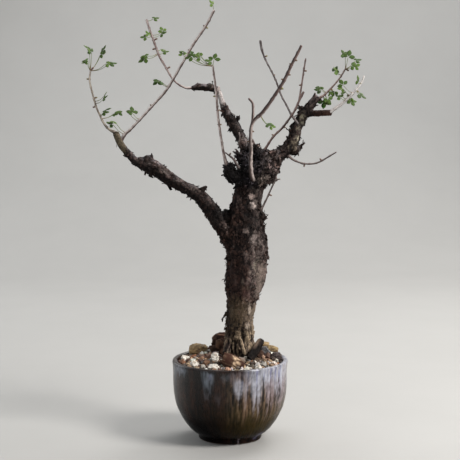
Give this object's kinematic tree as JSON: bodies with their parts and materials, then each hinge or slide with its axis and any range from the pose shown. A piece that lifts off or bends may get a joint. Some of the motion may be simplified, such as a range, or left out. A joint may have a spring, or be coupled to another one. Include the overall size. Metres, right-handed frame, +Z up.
{
  "type": "potted commiphora boranensis",
  "caption": "Small caudex tree with a flaking swollen trunk, a broken burr, bare and leafy young shoots, in a streaked glazed bowl dressed with grit and stones.",
  "frame": {"origin": "middle of the flat underside of the pot's foot, on the pot's axis", "axes": "+Z up along the pot's axis, +X to the right as the picture sees it, +Y away from the viewer"},
  "size_m": [0.2827, 0.1174, 0.4385],
  "materials": {
    "glaze": "glossy dark brown glaze with pale blue and lilac runs from the lip",
    "soil": "mixed grit of brown, tan, white and dark grains",
    "old_bark": "rough flaking grey-brown bark",
    "young_shoot": "smooth purplish brown shoots with green leaflets",
    "tan_stone": "rough tan stone",
    "grey_stone": "rough blue-grey stone",
    "dark_stone": "pitted dark lava stone",
    "pumice": "chalky white pumice",
    "loose_bark": "dark weathered bark pieces"
  },
  "bodies": {
    "root": {"pot": "glaze", "soil": "soil", "trunk": "old_bark", "shoot_far_left": "young_shoot", "shoot_long_left": "young_shoot", "shoot_middle_left": "young_shoot", "shoot_centre": "young_shoot", "shoot_tall_right": "young_shoot", "shoot_forked": "young_shoot", "shoot_crossing": "young_shoot", "shoot_drooping": "young_shoot", "shoot_low_right": "young_shoot", "shoot_burr_left": "young_shoot", "shoot_burr_top": "young_shoot", "shoot_right_end": "young_shoot", "shoot_right_pale": "young_shoot", "tan_block_stone": "tan_stone", "tan_stone_back": "tan_stone", "ochre_stone_back": "tan_stone", "ochre_stone_side": "tan_stone", "brown_stone_back": "dark_stone", "grey_stone": "grey_stone", "lava_stone": "dark_stone", "pumice_tall": "pumice", "pumice_left": "pumice", "pumice_front": "pumice", "pumice_chip": "pumice", "pumice_right": "pumice", "pumice_back": "pumice", "white_stone_side": "pumice", "bark_dome": "loose_bark", "bark_plank": "loose_bark", "bark_chip": "loose_bark"}
  },
  "joints": []
}
